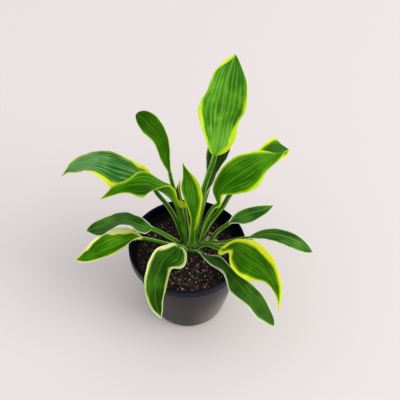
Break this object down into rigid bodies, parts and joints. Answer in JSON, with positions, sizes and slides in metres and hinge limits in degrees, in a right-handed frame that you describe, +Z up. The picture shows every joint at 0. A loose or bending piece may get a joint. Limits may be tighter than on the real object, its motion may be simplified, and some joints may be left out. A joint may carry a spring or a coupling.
{
  "type": "potted hosta plant",
  "caption": "Young variegated hosta with arching, wavy, lime and cream edged leaves on long stalks, growing in a round tapered black nursery pot filled with soil.",
  "frame": {"origin": "centre of the pot's flat underside, on the surface that it stands on", "axes": "+Z up along the pot's axis, +X to the right and +Y to the back as seen from the front, where the two drooping leaves hang over the rim"},
  "size_m": [0.3243, 0.2146, 0.3292],
  "materials": {
    "pot": "moulded black polypropylene, satin wall and glossier lip",
    "soil": "moist peat and bark potting mix with white perlite",
    "crown": "pale green leaf bases, satin",
    "leaf_inner": "fresh green with a lime margin, waxy satin",
    "leaf_outer": "deep green with a thin cream margin, waxy satin"
  },
  "bodies": {
    "root": {"pot": "pot", "soil": "soil", "crown": "crown", "leaf_tall": "leaf_inner", "leaf_left_high": "leaf_inner", "leaf_left_mid": "leaf_inner", "leaf_center": "leaf_inner", "leaf_young": "leaf_inner", "leaf_right_high": "leaf_inner", "leaf_front_right": "leaf_inner", "leaf_front_left": "leaf_inner", "leaf_back_left": "leaf_outer", "leaf_back_dark": "leaf_outer", "leaf_right_back": "leaf_outer", "leaf_right_small": "leaf_outer", "leaf_right_low": "leaf_outer", "leaf_front_low": "leaf_outer", "leaf_left_low_back": "leaf_outer", "leaf_left_low_front": "leaf_outer"}
  },
  "joints": []
}
